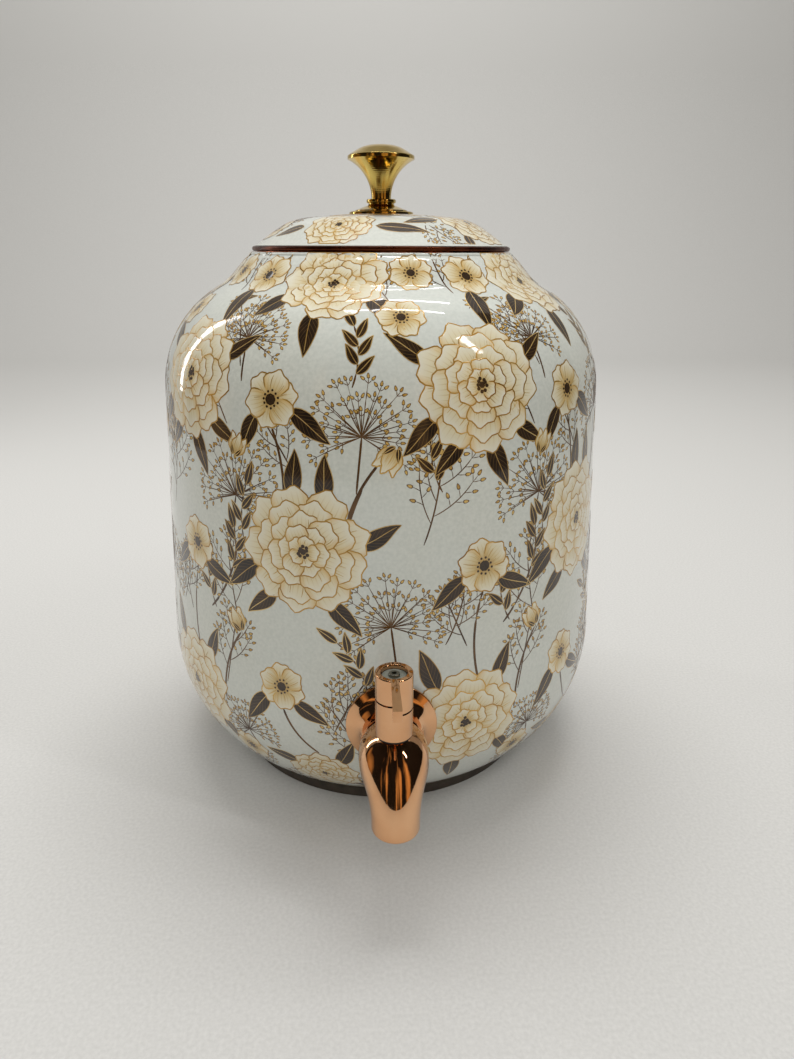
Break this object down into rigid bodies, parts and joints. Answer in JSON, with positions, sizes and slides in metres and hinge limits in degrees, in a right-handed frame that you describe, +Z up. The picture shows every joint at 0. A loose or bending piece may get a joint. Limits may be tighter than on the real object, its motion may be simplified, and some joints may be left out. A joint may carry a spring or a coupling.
{
  "type": "water pot with tap",
  "caption": "Spun metal water pot with a rounded body and short neck, lift-off domed lid with a turned trumpet knob, and a lever tap with a curved spout low on the front",
  "frame": {"origin": "centre of the foot ring, on the surface that the pot stands on", "axes": "+Z is up along the pot's axis, -Y is the front, where the tap points, +X is to the right of someone who faces the tap"},
  "size_m": [0.2302, 0.2828, 0.3083],
  "materials": {
    "printed_metal": "glossy lacquered print on a pale ground",
    "copper": "bare darkened copper",
    "polished_brass": "polished",
    "rose_gold": "polished rose gold plating",
    "plain_brass": "machined",
    "steel": "satin",
    "rubber": "matt",
    "ceramic": "lapped",
    "slip_plastic": "smooth"
  },
  "bodies": {
    "pot": {"vessel_base": "printed_metal", "vessel_wall": "printed_metal", "vessel_neck": "printed_metal", "foot_ring": "printed_metal", "tap_body": "rose_gold", "tap_flange": "rose_gold", "outer_gasket": "rubber", "inner_gasket": "rubber", "clamp_washer": "steel", "lock_nut": "plain_brass", "bonnet": "rose_gold", "bonnet_seal": "rubber", "seat_seal": "rubber", "fixed_disc": "ceramic"},
    "lid": {"lid_shell": "printed_metal", "lid_rim_ring": "copper", "lid_skirt": "copper", "knob_rosette": "polished_brass", "knob": "polished_brass", "knob_washer": "steel", "knob_screw": "steel"},
    "handle": {"tap_handle": "rose_gold", "handle_cap_disc": "steel", "handle_screw": "steel", "spindle": "plain_brass", "thrust_washer": "slip_plastic", "spindle_o_rings": "rubber", "moving_disc": "ceramic"}
  },
  "joints": [
    {"name": "lid_lift", "type": "slide", "parent": "pot", "child": "lid", "axis": [0, 0, 1], "range_m": [0, 0.08]},
    {"name": "tap_turn", "type": "hinge", "parent": "pot", "child": "handle", "pos_m": [0, -0.14005, 0.067], "axis": [0, 0, 1], "range_deg": [0, 90]}
  ]
}
